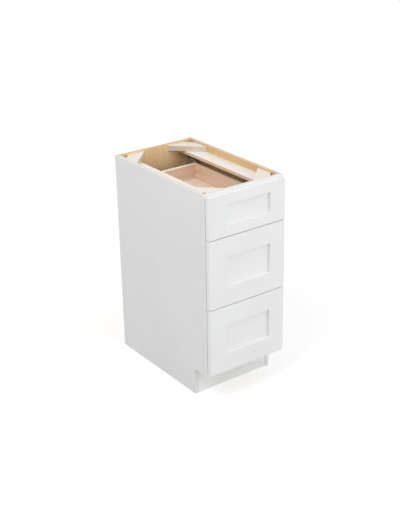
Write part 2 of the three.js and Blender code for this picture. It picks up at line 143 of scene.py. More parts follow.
def planed_grain(tree, place, along, seed, dark, pale, turned=0.0, figure=0.10):
    """Colour and relief of a planed face: slow bands, growth lines, fibres and short pores."""
    def marks(shrink, scale, detail, distortion=0.0):
        lined_up = drawn_out(tree, place, along, shrink, seed, turned)
        return mottle(tree, lined_up, scale, detail, distortion)

    bands = marks(0.07, 13, 2.0, 0.2)
    swell = calc(tree, "SINE", calc(tree, "MULTIPLY", bands, 30))
    waves = calc(tree, "MULTIPLY_ADD", swell, 0.5, 0.5)
    streaks = marks(0.012, 190, 3.0)
    fibres = marks(0.018, 700, 2.0)
    pores = fade(tree, marks(0.05, 900, 1.0), 0.66, 0.76)
    body = calc(tree, "MULTIPLY_ADD", bands, 0.40, calc(tree, "MULTIPLY", waves, figure))
    body = calc(tree, "MULTIPLY_ADD", streaks, 0.40, body)
    share = fade(tree, calc(tree, "MULTIPLY_ADD", fibres, 0.22, body), 0.32, 0.78)
    shaded = tint(tree, calc(tree, "MULTIPLY", pores, 0.35), tint(tree, share, dark, pale), dark)
    relief = calc(tree, "MULTIPLY_ADD", fibres, 0.7, calc(tree, "MULTIPLY", streaks, 0.3))
    return shaded, calc(tree, "SUBTRACT", relief, calc(tree, "MULTIPLY", pores, 0.5))


def cut_layers(tree, place, across, low, thickness, count, seed, dark, pale):
    """The cut edge of plywood: layers that run along the edge, between darker end-grain ones."""
    waver = calc(tree, "MULTIPLY", mottle(tree, place, 60, 2.0), 0.5)
    from_low = calc(tree, "SUBTRACT", axes(tree, place)["xyz".index(across)], low)
    level = calc(tree, "DIVIDE", from_low, thickness / count)
    layer = calc(tree, "PINGPONG", calc(tree, "ADD", level, calc(tree, "ADD", waver, 0.25)), 1.0)
    pores = mottle(tree, place, 1500 + 20 * seed, 1.0)
    end_grain = calc(tree, "SUBTRACT", 1.0, fade(tree, layer, 0.42, 0.58))
    depth = calc(tree, "MULTIPLY_ADD", pores, 0.5, calc(tree, "MULTIPLY", end_grain, 0.55))
    colour = tint(tree, fade(tree, depth, 0.15, 0.95), pale, dark)
    return colour, calc(tree, "MULTIPLY", pores, -0.8)


def facing(tree, normal, axis, low=0.55, high=0.8):
    """How squarely a face looks along an axis, whichever way, from 0 to 1."""
    component = axes(tree, normal)["xyz".index(axis)]
    return fade(tree, calc(tree, "ABSOLUTE", component), low, high)


def satin_white(tree, place, seed, shade=tone(238, 238, 238), light=tone(241, 242, 242)):
    """Sprayed satin paint: its faint drift of tone, its sheen and its fine orange peel."""
    shift = (seed, seed * 0.7, seed * 1.3)
    shifted = step(tree, "Mapping", {"Vector": place, "Location": shift}).outputs[0]
    drift = mottle(tree, shifted, 3.5, 3.0)
    peel = mottle(tree, shifted, 520, 1.5)
    colour = tint(tree, fade(tree, drift, 0.3, 0.7), shade, light)
    sheen = calc(tree, "MULTIPLY_ADD", peel, 0.08, calc(tree, "MULTIPLY_ADD", drift, 0.10, 0.30))
    return colour, sheen, peel


def new_finish(name):
    """A new finish, its steps, its surface, and the place and normal of a point on the piece."""
    material = bpy.data.materials.new(name)
    material.use_nodes = True
    tree = material.node_tree
    surface = tree.nodes["Principled BSDF"]
    coordinates = step(tree, "TexCoord").outputs
    return material, tree, surface, coordinates["Object"], coordinates["Normal"]


def lay_on(tree, surface, colour, roughness, relief, depth):
    """Puts a colour, a roughness and a relief of a depth in metres on a surface."""
    bump = step(tree, "Bump", {"Height": relief, "Distance": depth, "Strength": 0.6}).outputs[0]
    for socket, value in (("Base Color", colour), ("Roughness", roughness), ("Normal", bump)):
        if isinstance(value, bpy.types.NodeSocket):
            tree.links.new(value, surface.inputs[socket])
        else:
            surface.inputs[socket].default_value = value


def soften_edges(name, width):
    """Takes the sharpness off a piece's edges, as sanding or a deburring wheel does."""
    piece = nodes[name]
    skin = piece.modifiers.new("one_skin", "WELD")
    skin.merge_threshold = 0.00001
    ease = piece.modifiers.new("eased_edges", "BEVEL")
    ease.width = width
    ease.segments = 2
    ease.angle_limit = SHARP_ANGLE
    even = piece.modifiers.new("even_faces", "WEIGHTED_NORMAL")
    even.keep_sharp = True


def wear(name, material):
    """Puts a finish on a piece of the frame."""
    nodes[name].material_slots[0].material = material


RAW_EDGE = {
    "left": (tone(221, 212, 200), tone(239, 234, 226)),
    "right": (tone(200, 172, 138), tone(235, 213, 185)),
}


def side_panel_finish(side, seed):
    material, tree, surface, place, normal = new_finish("side_panel_" + side)
    x, y, z = axes(tree, place)
    facing_y, facing_z = axes(tree, normal)[1:]
    paint, sheen, peel = satin_white(tree, place, seed)
    clear, grain = planed_grain(tree, place, "z", seed, tone(209, 171, 118), tone(226, 193, 144))
    low = -CASE_HALF if side == "left" else CASE_HALF - SIDE_THICKNESS
    layers, cut = cut_layers(tree, place, "x", low, SIDE_THICKNESS, 9, seed, *RAW_EDGE[side])
    on_face = facing(tree, normal, "x")
    wood = tint(tree, on_face, layers, clear)
    waver = mottle(tree, place, 240, 2.0)
    spray_line = calc(tree, "MULTIPLY_ADD", waver, SPRAY_RAGGED, CASE_HALF - SPRAY_REACH)
    past_line = calc(tree, "SUBTRACT", calc(tree, "ABSOLUTE", x), spray_line)
    outside = fade(tree, past_line, -0.00008, 0.00008)
    front_edge = fade(tree, facing_y, -0.8, -0.55, 1.0, 0.0)
    notch_edge = calc(
        tree, "MULTIPLY",
        fade(tree, facing_z, -0.8, -0.55, 1.0, 0.0),
        fade(tree, z, TOE_NOTCH_TOP - 0.01, TOE_NOTCH_TOP - 0.005),
    )
    before_board = calc(
        tree, "MULTIPLY",
        fade(tree, y, TOE_BOARD_FACE - 0.0001, TOE_BOARD_FACE + 0.0003, 1.0, 0.0),
        fade(tree, z, TOE_NOTCH_TOP - 0.0005, TOE_NOTCH_TOP + 0.0005, 1.0, 0.0),
    )
    edges = calc(tree, "MAXIMUM", front_edge, calc(tree, "MAXIMUM", notch_edge, before_board))
    painted = calc(tree, "MAXIMUM", outside, edges)
    bare_relief = between(tree, on_face, cut, grain)
    relief = between(tree, painted, bare_relief, peel)
    roughness = between(tree, painted, 0.5, sheen)
    lay_on(tree, surface, tint(tree, painted, wood, paint), roughness, relief, depth=0.00012)
    return material


for seed, side in enumerate(("left", "right")):
    wear("side_panel_" + side, side_panel_finish(side, seed + 1))
    soften_edges("side_panel_" + side, width=0.0005)

# ---- Back and floor ----
# Two sheets of 13 mm birch plywood in the sides' grooves, clear-coated golden tan on both faces.
# The back stands a little in from the sides' rear edges. The floor is level with the bottom rail.
BACK_TONES = (tone(230, 195, 147), tone(246, 216, 170))
FLOOR_TONES = (tone(198, 162, 114), tone(226, 194, 148))
CUT_TONES = (tone(184, 144, 102), tone(234, 210, 176))


def clear_plywood(name, along, across, seed, dark, pale, layers=7):
    """Clear-coated plywood: grain on its faces, and its layers on the edges round them."""
    low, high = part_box(name)
    axis = "xyz".index(across)
    material, tree, surface, place, normal = new_finish(name)
    clear, grain = planed_grain(tree, place, along, seed, dark, pale)
    thickness = high[axis] - low[axis]
    cut_colour, cut = cut_layers(
        tree, place, across, low[axis], thickness, layers, seed, *CUT_TONES
    )
    on_face = facing(tree, normal, across)
    relief = between(tree, on_face, cut, grain)
    roughness = between(tree, on_face, 0.7, 0.42)
    lay_on(tree, surface, tint(tree, on_face, cut_colour, clear), roughness, relief, depth=0.00012)
    return material


wear("back_panel", clear_plywood("back_panel", "z", "y", 3, *BACK_TONES))
wear("bottom_panel", clear_plywood("bottom_panel", "x", "z", 4, *FLOOR_TONES))
for name in ("back_panel", "bottom_panel"):
    soften_edges(name, width=0.0004)

# ---- Toe-kick board ----
# A board of 16 mm plywood set back under the face frame, between the sides. Its face is sprayed a
# whiter white than the rest, a painted light that lifts the shade under the drawer fronts, and it
# can be seen as it is or carry a skirt board. Its back and edges are left raw.


def toe_board_finish():
    name = "toe_kick_board"
    low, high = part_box(name)
    material, tree, surface, place, normal = new_finish(name)
    # The face's whiter tones are painted light, standing in for light that the drawer fronts keep
    # off.
    paint, sheen, peel = satin_white(tree, place, 5, tone(248, 248, 248), tone(251, 252, 252))
    clear, grain = planed_grain(tree, place, "x", 5, tone(196, 160, 114), tone(222, 190, 146))
    layers, cut = cut_layers(tree, place, "y", low.y, high.y - low.y, 9, 5, *CUT_TONES)
    facing_y = axes(tree, normal)[1]
    front = fade(tree, facing_y, -0.8, -0.5, 1.0, 0.0)
    on_face = facing(tree, normal, "y")
    bare_relief = between(tree, on_face, cut, grain)
    relief = between(tree, front, bare_relief, peel)
    roughness = between(tree, front, 0.65, sheen)
    colour = tint(tree, front, tint(tree, on_face, layers, clear), paint)
    lay_on(tree, surface, colour, roughness, relief, depth=0.00012)
    return material


wear("toe_kick_board", toe_board_finish())
soften_edges("toe_kick_board", width=0.0004)

# ---- Corner braces ----
# Four boards of bare pale wood, 22 mm thick, cut to 45 degrees at both ends and fastened across the
# corners of the case a little below its top. The worktop is screwed down through them.
PALE_WOOD_DARK = tone(230, 219, 206)
PALE_WOOD_LIGHT = tone(250, 244, 236)
END_GRAIN_DARK = tone(196, 172, 148)
END_GRAIN_LIGHT = tone(228, 210, 190)
RIPPED_EDGE = tone(228, 222, 216)
# Painted shade: brown tones for the short edge that looks into the pit at the corner.
CORNER_EDGE_SHADE_DARK = tone(128, 92, 66)
CORNER_EDGE_SHADE_LIGHT = tone(170, 132, 100)


def brace_finish(name, seed, turned, corner):
    """Bare planed wood, darker where sawn on its long edge and ends; painted shade on its short
    edge.
    """
    material, tree, surface, place, normal = new_finish(name)
    planed, grain = planed_grain(
        tree, place, "x", seed, PALE_WOOD_DARK, PALE_WOOD_LIGHT, turned, figure=0.05
    )
    spots = mottle(tree, place, 1300, 2.0)
    rings = calc(tree, "SINE", calc(tree, "MULTIPLY", mottle(tree, place, 22, 1.0, 0.4), 60))
    cells = fade(tree, calc(tree, "MULTIPLY_ADD", rings, 0.16, spots), 0.3, 0.75)
    sawn = tint(tree, cells, END_GRAIN_DARK, END_GRAIN_LIGHT)
    on_end = calc(
        tree, "MAXIMUM", facing(tree, normal, "x", 0.8, 0.92), facing(tree, normal, "y", 0.8, 0.92)
    )
    toward = step(tree, "VectorMath", {0: normal, 1: corner}, operation="DOT_PRODUCT")
    to_corner = toward.outputs["Value"]
    # The short edge that looks into the corner gets a painted shade.
    corner_shade = tint(tree, spots, CORNER_EDGE_SHADE_DARK, CORNER_EDGE_SHADE_LIGHT)
    sockets = {0: 1.0, 6: planed, 7: RIPPED_EDGE}
    ripped = step(tree, "Mix", sockets, data_type="RGBA", blend_type="MULTIPLY")
    long_edge = calc(tree, "SUBTRACT", 1.0, facing(tree, normal, "z"))
    worked = tint(tree, long_edge, planed, ripped.outputs[2])
    with_corner_shade = tint(tree, fade(tree, to_corner, 0.85, 0.95), worked, corner_shade)
    relief = between(tree, on_end, grain, spots)
    lay_on(tree, surface, tint(tree, on_end, with_corner_shade, sawn), 0.62, relief, depth=0.00015)
    return material


seed = 10
for end, lean in (("front", -1), ("back", 1)):
    for side, hand in (("left", 1), ("right", -1)):
        name = "corner_brace_" + end + "_" + side
        seed += 1
        lay_along = math.radians(45) * lean * hand
        corner = (-hand * math.sqrt(0.5), lean * math.sqrt(0.5), 0)
        wear(name, brace_finish(name, seed, lay_along, corner))
        soften_edges(name, width=0.0008)

# ---- Kicker rails ----
# Two flat boards of 13 mm plywood, bare, that run front to back under the corner braces. They
# stiffen the case, and the top drawer's sides run under them and can't tip up when it is open.


def kicker_finish(name, seed):
    low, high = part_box(name)
    material, tree, surface, place, normal = new_finish(name)
    planed, grain = planed_grain(tree, place, "y", seed, tone(240, 233, 225), tone(251, 248, 243))
    layers, cut = cut_layers(
        tree, place, "z", low.z, high.z - low.z, 7, seed, tone(196, 160, 132), tone(246, 230, 210)
    )
    on_face = facing(tree, normal, "z")
    relief = between(tree, on_face, cut, grain)
    lay_on(tree, surface, tint(tree, on_face, layers, planed), 0.6, relief, depth=0.00014)
    return material


for seed, side in ((17, "left"), (18, "right")):
    name = "kicker_rail_" + side
    wear(name, kicker_finish(name, seed))
    soften_edges(name, width=0.0006)

# ---- Staples ----
# Steel staples with crowns 11 mm wide, driven through the back into the floor's rear edge and into
# the rear braces. Their crowns lie about half a millimetre proud of the plywood.
CROWN_HALF = 0.0055
WIRE_HALF = 0.00065
CROWN_RISE = 0.0005
CROWN_SUNK = 0.0002


def add_piece(name, points, faces, material, body):
    """A piece made in place, that moves with a body and wears the finish that it is given."""
    mesh = bpy.data.meshes.new(name)
    mesh.from_pydata([tuple(point) for point in points], [], faces)
    mesh.validate()
    mesh.materials.append(material)
    mesh.shade_smooth()
    mesh.set_sharp_from_angle(angle=SHARP_ANGLE)
    piece = bpy.data.objects.new(name, mesh)
    bpy.context.scene.collection.objects.link(piece)
    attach(piece, body)


def bright_steel(name, pale, dark, roughness):
    """Plated steel: a drift of tone, fine scratches and a changing sheen."""
    material, tree, surface, place, _ = new_finish(name)
    drift = mottle(tree, place, 160, 3.0)
    scratches = mottle(tree, drawn_out(tree, place, "y", 0.03, 3), 2600, 2.0)
    colour = tint(tree, fade(tree, drift, 0.3, 0.7), dark, pale)
    sheen = calc(tree, "MULTIPLY_ADD", scratches, 0.22, roughness)
    lay_on(tree, surface, colour, sheen, scratches, depth=0.00002)
    surface.inputs["Metallic"].default_value = 1.0
    return material


def add_block(points, faces, low, high):
    start = len(points)
    for x in (low[0], high[0]):
        for y in (low[1], high[1]):
            for z in (low[2], high[2]):
                points.append(Vector((x, y, z)))
    ends = ((0, 1, 3, 2), (4, 6, 7, 5))
    sides = ((0, 4, 5, 1), (2, 3, 7, 6), (0, 2, 6, 4), (1, 5, 7, 3))
    for face in ends + sides:
        faces.append(tuple(start + corner for corner in face))


staple_steel = bright_steel("staple_steel", tone(206, 206, 204), tone(176, 176, 174), 0.24)
back_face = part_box("back_panel")[1].y
floor_low, floor_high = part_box("bottom_panel")
brace_low, brace_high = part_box("corner_brace_back_right")
rows = (
    ((floor_low.z + floor_high.z) / 2, (-0.14, -0.07, 0.0, 0.07, 0.14)),
    ((brace_low.z + brace_high.z) / 2, (-0.12, -0.08, 0.08, 0.12)),
)
points, faces = [], []
for z, row in rows:
    for x in row:
        crown_low = (x - CROWN_HALF, back_face - CROWN_SUNK, z - WIRE_HALF)
        crown_high = (x + CROWN_HALF, back_face + CROWN_RISE, z + WIRE_HALF)
        add_block(points, faces, crown_low, crown_high)
add_piece("back_staples", points, faces, staple_steel, "root")

# ---- Face frame ----
# Two stiles and four rails of 19 mm solid wood, joined with tenons, glued and screwed to the front
# of the case. They are sprayed white in front and left bare at the back. The edges that look up are
# painted a darker, warmer white, a painted shade.
# A painted shade for the face frame's edges that look up.
UPWARD_EDGE_SHADE = tone(228, 224, 216)


def face_frame_finish(name, along, seed):
    material, tree, surface, place, normal = new_finish(name)
    paint, sheen, peel = satin_white(tree, place, seed)
    planed, grain = planed_grain(tree, place, along, seed, PALE_WOOD_DARK, PALE_WOOD_LIGHT)
    facing_y, facing_z = axes(tree, normal)[1:]
    back = fade(tree, facing_y, 0.6, 0.85)
    # The edges that look up are painted darker, a painted shade.
    paint_with_painted_shading = tint(tree, fade(tree, facing_z, 0.7, 0.9, 0.0, 0.8), paint, UPWARD_EDGE_SHADE)
    showing_through = calc(tree, "MULTIPLY_ADD", grain, 0.35, calc(tree, "MULTIPLY", peel, 0.65))
    relief = between(tree, back, showing_through, grain)
    roughness = between(tree, back, sheen, 0.62)
    lay_on(tree, surface, tint(tree, back, paint_with_painted_shading, planed), roughness, relief, depth=0.00010)
    return material


for seed, side in ((20, "left"), (21, "right")):
    wear("frame_stile_" + side, face_frame_finish("frame_stile_" + side, "z", seed))
for seed, height in enumerate(("top", "upper", "lower", "bottom")):
    wear("frame_rail_" + height, face_frame_finish("frame_rail_" + height, "x", 22 + seed))
for name in [n for n in nodes if n.startswith("frame_")]:
    soften_edges(name, width=0.00025)

# ---- Drawer fronts ----
# Three fronts of 19 mm wood, each two stiles and two rails round a flat panel that sits 9.5 mm
# back. They are sprayed white after the frame is glued up, and its joints show only as hairlines.
# The walls round the panel are painted darker, a painted shade, and the ends of the front paler, a
# painted light.
FRONT_HALF = 0.18415
FRONT_STILE = 0.0762
FRONT_RAILS = {"top": 0.046, "middle": 0.084, "bottom": 0.084}
# Painted shade for the walls round the panel.
RECESS_SHADE = tone(222, 222, 221)
# Painted light: a paler white on the ends of the front, lifting the shade of the gap behind them.
FRONT_END_LIGHT = tone(246, 247, 247)
HAIRLINE = tone(205, 205, 203)
ROUNDED_EDGE = 0.0025
BROKEN_EDGE = 0.0004
BACK_EDGE = 0.0001
NEAR = 0.00005


def front_frame_finish(drawer, seed):
    name = drawer + "_drawer_front_frame"
    low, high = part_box(name)
    material, tree, surface, place, normal = new_finish(name)
    paint, sheen, peel = satin_white(tree, place, seed)
    x, _, z = axes(tree, place)
    upright = mottle(tree, drawn_out(tree, place, "z", 0.02, seed), 420, 2.0)
    level = mottle(tree, drawn_out(tree, place, "x", 0.02, seed), 420, 2.0)
    off_joint = calc(tree, "SUBTRACT", calc(tree, "ABSOLUTE", x), FRONT_HALF - FRONT_STILE)
    in_stile = fade(tree, off_joint, -NEAR, NEAR)
    grain = between(tree, in_stile, level, upright)
    middle = (low.z + high.z) / 2
    opening_half = (high.z - low.z) / 2 - FRONT_RAILS[drawer]
    off_middle = calc(tree, "ABSOLUTE", calc(tree, "SUBTRACT", z, middle))
    in_rail = fade(tree, off_middle, opening_half, opening_half + 0.001)
    at_joint = fade(tree, calc(tree, "ABSOLUTE", off_joint), 0.00008, 0.0003, 1.0, 0.0)
    seam = calc(tree, "MULTIPLY", in_rail, at_joint)
    facing_x, _, facing_z = axes(tree, normal)
    # The walls round the panel are painted darker, a painted shade: the side walls by half, the
    # lower wall by less.
    sideways = fade(tree, calc(tree, "ABSOLUTE", facing_x), 0.5, 0.8)
    beside_panel = fade(tree, off_joint, 0.001, 0.003, 0.5, 0.0)
    shade_beside_panel = calc(tree, "MULTIPLY", sideways, beside_panel)
    under_panel = fade(tree, off_middle, opening_half + 0.001, opening_half + 0.003, 0.3, 0.0)
    shade_under_panel = calc(tree, "MULTIPLY", fade(tree, facing_z, 0.5, 0.8), under_panel)
    paint_with_recess_shade = tint(tree, calc(tree, "MAXIMUM", shade_beside_panel, shade_under_panel), paint, RECESS_SHADE)
    # The ends of the front are painted paler, a painted light.
    at_end = calc(tree, "MULTIPLY", sideways, fade(tree, off_joint, 0.06, 0.07))
    paint_with_painted_shading = tint(tree, at_end, paint_with_recess_shade, FRONT_END_LIGHT)
    colour = tint(tree, calc(tree, "MULTIPLY", seam, 0.2), paint_with_painted_shading, HAIRLINE)
    skin = calc(tree, "MULTIPLY_ADD", grain, 0.30, calc(tree, "MULTIPLY", peel, 0.70))
    relief = calc(tree, "SUBTRACT", skin, calc(tree, "MULTIPLY", seam, 0.7))
    lay_on(tree, surface, colour, sheen, relief, depth=0.00010)
    return material


def front_panel_finish(drawer, seed):
    material, tree, surface, place, _ = new_finish(drawer + "_drawer_front_panel")
    paint, sheen, peel = satin_white(tree, place, seed)
    lay_on(tree, surface, paint, sheen, peel, depth=0.00008)
    return material


def round_front(drawer):
    """Rounds a front's outer edges in front, and only breaks the sharpness of its other edges."""
    name = drawer + "_drawer_front_frame"
    piece = nodes[name]
    low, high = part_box(name)
    soften_edges(name, ROUNDED_EDGE)
    tree = bpy.data.node_groups.new(name + "_edges", "GeometryNodeTree")
    tree.interface.new_socket("Front", in_out="INPUT", socket_type="NodeSocketGeometry")
    tree.interface.new_socket("Front", in_out="OUTPUT", socket_type="NodeSocketGeometry")
    entry, leave = tree.nodes.new("NodeGroupInput"), tree.nodes.new("NodeGroupOutput")
    place = tree.nodes.new("GeometryNodeInputPosition").outputs[0]
    x, y, z = axes(tree, place)
    angle = tree.nodes.new("GeometryNodeInputMeshEdgeAngle").outputs["Unsigned Angle"]
    sharp = calc(tree, "GREATER_THAN", angle, SHARP_ANGLE)
    at_end = calc(tree, "GREATER_THAN", calc(tree, "ABSOLUTE", x), FRONT_HALF - NEAR)
    off_middle = calc(tree, "ABSOLUTE", calc(tree, "SUBTRACT", z, (low.z + high.z) / 2))
    at_top_or_foot = calc(tree, "GREATER_THAN", off_middle, (high.z - low.z) / 2 - NEAR)
    in_front = calc(tree, "LESS_THAN", y, low.y + NEAR)
    at_back = calc(tree, "GREATER_THAN", y, high.y - NEAR)
    outer = calc(tree, "MULTIPLY", in_front, calc(tree, "MAXIMUM", at_end, at_top_or_foot))
    broken = BROKEN_EDGE / ROUNDED_EDGE
    less_at_back = (BACK_EDGE - BROKEN_EDGE) / ROUNDED_EDGE
    other = calc(tree, "MULTIPLY_ADD", at_back, less_at_back, broken)
    share = calc(tree, "MULTIPLY", sharp, calc(tree, "MAXIMUM", outer, other))
    keep = tree.nodes.new("GeometryNodeStoreNamedAttribute")
    keep.domain = "EDGE"
    keep.inputs["Name"].default_value = "bevel_weight_edge"
    tree.links.new(entry.outputs[0], keep.inputs["Geometry"])
    tree.links.new(share, keep.inputs["Value"])
    tree.links.new(keep.outputs[0], leave.inputs[0])
    marked = piece.modifiers.new("marked_edges", "NODES")
    marked.node_group = tree
    after_skin = 1
    piece.modifiers.move(len(piece.modifiers) - 1, after_skin)
    ease = piece.modifiers["eased_edges"]
    ease.limit_method = "WEIGHT"
    ease.segments = 3


for seed, drawer in enumerate(("top", "middle", "bottom")):
    wear(drawer + "_drawer_front_frame", front_frame_finish(drawer, 31 + seed))
    wear(drawer + "_drawer_front_panel", front_panel_finish(drawer, 36 + seed))
    round_front(drawer)

# ---- Bumpers ----
# Small domed pads of clear soft plastic, stuck to the back of each drawer front near its corners.
# They keep the front 1.5 mm off the face frame and quieten its closing.
BUMPER_RADIUS = 0.004
BUMPER_HEIGHT = 0.00135
BUMPER_INSET = 0.012
BUMPER_DOME = [(1.0, 0.0), (1.0, 0.45), (0.86, 0.8), (0.5, 1.0)]


def add_dome(points, faces, place, out, radius, profile, sides=20):
    """A round form on a face: rings at shares of its radius and heights out of the face."""
    outward = Vector(out)
    across = outward.orthogonal().normalized()
    along = outward.cross(across)
    start = len(points)
    for share, height in profile:
        for side in range(sides):
            angle = 2 * math.pi * side / sides
            spoke = math.cos(angle) * across + math.sin(angle) * along
            points.append(Vector(place) + radius * share * spoke + height * outward)
    for ring in range(len(profile) - 1):
        for side in range(sides):
            after = (side + 1) % sides
            low, high = start + ring * sides, start + (ring + 1) * sides
            faces.append((low + side, low + after, high + after, high + side))
    top = start + (len(profile) - 1) * sides
    faces.append(tuple(range(start + sides - 1, start - 1, -1)))
    faces.append(tuple(range(top, top + sides)))


def bumper_finish():
    material, tree, surface, place, _ = new_finish("clear_bumper")
    cloud = mottle(tree, place, 380, 2.0)
    colour = tint(tree, cloud, tone(214, 216, 216), tone(236, 238, 238))
    sheen = calc(tree, "MULTIPLY_ADD", cloud, 0.2, 0.12)
    lay_on(tree, surface, colour, sheen, cloud, depth=0.00004)
    surface.inputs["Transmission Weight"].default_value = 0.6
    surface.inputs["IOR"].default_value = 1.48
    return material


clear_bumper = bumper_finish()
for drawer in ("top", "middle", "bottom"):
    low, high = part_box(drawer + "_drawer_front_frame")
    points, faces = [], []
    dome = [(share, height * BUMPER_HEIGHT) for share, height in BUMPER_DOME]
    for x in (low.x + BUMPER_INSET, high.x - BUMPER_INSET):
        for z in (low.z + BUMPER_INSET, high.z - BUMPER_INSET):
            add_dome(points, faces, (x, high.y, z), (0, 1, 0), BUMPER_RADIUS, dome)
    add_piece(drawer + "_front_bumpers", points, faces, clear_bumper, drawer + "_drawer")

# ---- Drawer boxes ----
# Boxes of 16 mm solid birch, clear-coated, half-blind dovetailed at all four corners with rounded
# top edges, round a floor of 6 mm plywood in grooves. The pins show as end grain on the sides.
SIDE_BOARD = (tone(208, 172, 144), tone(238, 211, 187))
END_BOARD = (tone(213, 180, 154), tone(241, 218, 196))
# A painted highlight for the boards' top edges, strongest on the boards at the ends of the box.
BOX_TOP_HIGHLIGHT = tone(252, 244, 234)
BOX_PINS = (tone(158, 116, 88), tone(194, 152, 122))
BOX_FLOOR = (tone(235, 215, 198), tone(249, 237, 225))


def box_board_finish(name, along, seed, board, top_highlight):
    """Clear-coated birch, darker on its end grain, with a painted highlight along its top edge."""
    material, tree, surface, place, normal = new_finish(name)
    planed, grain = planed_grain(tree, place, along, seed, *board)
    spots = mottle(tree, place, 1500, 2.0)
    rings = calc(tree, "SINE", calc(tree, "MULTIPLY", mottle(tree, place, 26, 1.0, 0.4), 60))
    cells = fade(tree, calc(tree, "MULTIPLY_ADD", rings, 0.16, spots), 0.3, 0.75)
    sawn = tint(tree, cells, *BOX_PINS)
    on_end = facing(tree, normal, along)
    upward = axes(tree, normal)[2]
    with_top_highlight = tint(tree, fade(tree, upward, 0.3, 0.8, 0.0, top_highlight), planed, BOX_TOP_HIGHLIGHT)
    relief = between(tree, on_end, grain, spots)
    roughness = calc(tree, "MULTIPLY_ADD", spots, 0.12, 0.36)
    lay_on(tree, surface, tint(tree, on_end, with_top_highlight, sawn), roughness, relief, depth=0.00010)
    return material


for seed, drawer in enumerate(("top", "middle", "bottom")):
    boards = (
        ("_drawer_box_front", "x"), ("_drawer_box_back", "x"),
        ("_drawer_side_left", "y"), ("_drawer_side_right", "y"),
    )
    for number, (board, along) in enumerate(boards):
        name = drawer + board
        # Share of painted highlight on the top edge: more on the end boards, less on the sides.
        tones, top_highlight = (END_BOARD, 0.85) if along == "x" else (SIDE_BOARD, 0.25)
        wear(name, box_board_finish(name, along, 41 + 5 * seed + number, tones, top_highlight))
        soften_edges(name, width=0.0003)
    name = drawer + "_drawer_bottom"
    wear(name, clear_plywood(name, "x", "z", 45 + 5 * seed, *BOX_FLOOR, layers=5))
    soften_edges(name, width=0.0002)

# ---- Drawer front screws ----
# Steel screws with domed heads and cross recesses, driven from inside each box through its front
# board into the drawer front: two in the shallow drawer and four in a deep one.
SCREW_HEAD = 0.0042
SCREW_RISE = 0.0022
SCREW_SPREAD = 0.075
RECESS_ARM = 0.52
RECESS_HALF_WIDTH = 0.15
RECESS_FOOT = 0.7
RECESS_FOOT_RISE = 0.35


def cross_outline(arm, half_width):
    """The outline of a cross recess, with a point in the middle of each of its edges."""
    quarter = [(arm, -half_width), (arm, half_width), (half_width, half_width)]
    corners = []
    for _ in range(4):
        corners += quarter
        quarter = [(-y, x) for x, y in quarter]
    outline = []
    for (x, y), (next_x, next_y) in zip(corners, corners[1:] + corners[:1]):
        outline += [(x, y), ((x + next_x) / 2, (y + next_y) / 2)]
    return outline


def add_screw_head(points, faces, place, out, radius, rise, rings):
    """A screw's head on a face: a cross recess in a crown that is given as rings."""
    outward = Vector(out)
    across = outward.orthogonal().normalized()
    along = outward.cross(across)
    recess = cross_outline(RECESS_ARM * radius, RECESS_HALF_WIDTH * radius)
    levels = [
        ([(RECESS_FOOT * x, RECESS_FOOT * y) for x, y in recess], RECESS_FOOT_RISE * rise),
        (recess, rise),
    ]
    for share, height in rings:
        circle = [Vector(corner).normalized() * radius * share for corner in recess]
        levels.append(([tuple(corner) for corner in circle], height * rise))
    start = len(points)
    count = len(recess)
    for corners, height in levels:
        for x, y in corners:
            points.append(Vector(place) + x * across + y * along + height * outward)
    for level in range(len(levels) - 1):
        inner, outer = start + level * count, start + (level + 1) * count
        for corner in range(count):
            after = (corner + 1) % count
            faces.append((inner + corner, outer + corner, outer + after, inner + after))
    faces.append(tuple(range(start, start + count)))
    last = start + (len(levels) - 1) * count
    faces.append(tuple(range(last + count - 1, last - 1, -1)))


DOMED = [(0.62, 0.94), (0.86, 0.66), (1.0, 0.22), (1.0, 0.0)]
screw_steel = bright_steel("screw_steel", tone(196, 198, 200), tone(168, 170, 172), 0.22)
for drawer in ("top", "middle", "bottom"):
    low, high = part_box(drawer + "_drawer_box_front")
    bottom_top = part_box(drawer + "_drawer_bottom")[1].z
    shares = (0.5,) if drawer == "top" else (0.25, 0.75)
    points, faces = [], []
    for share in shares:
        z = bottom_top + share * (high.z - bottom_top)
        for x in (-SCREW_SPREAD, SCREW_SPREAD):
            place = (x, high.y, z)
            add_screw_head(points, faces, place, (0, 1, 0), SCREW_HEAD, SCREW_RISE, DOMED)
    name, body = drawer + "_front_screws", drawer + "_drawer"
    add_piece(name, points, faces, screw_steel, body)

# ---- Slides ----
# Six telescopic slides of zinc-plated steel, each three roll-formed channels that run in one
# another on balls. The outer channel is screwed to the face frame and, by its bracket, to the back.


def rolled_zinc(name, seed):
    material, tree, surface, place, _ = new_finish(name)
    along = drawn_out(tree, place, "y", 0.02, seed)
    streaks = mottle(tree, along, 900, 3.0)
    spangle = step(tree, "TexVoronoi", {"Vector": place, "Scale": 210.0}).outputs["Color"]
    cells = step(tree, "SeparateColor", {0: spangle}).outputs[0]
    share = calc(tree, "MULTIPLY_ADD", cells, 0.12, calc(tree, "MULTIPLY", streaks, 0.88))
    colour = tint(tree, fade(tree, share, 0.25, 0.75), tone(180, 186, 195), tone(206, 211, 219))
    sheen = calc(tree, "MULTIPLY_ADD", cells, 0.04, calc(tree, "MULTIPLY_ADD", streaks, 0.14, 0.30))
    lay_on(tree, surface, colour, sheen, streaks, depth=0.00003)
    surface.inputs["Metallic"].default_value = 1.0
    return material


for seed, drawer in enumerate(("top", "middle", "bottom")):
    for side in ("left", "right"):
        for member in ("drawer", "middle", "cabinet"):
            name = drawer + "_slide_" + member + "_member_" + side
            wear(name, rolled_zinc(name, 60 + seed))
            soften_edges(name, width=0.00015)

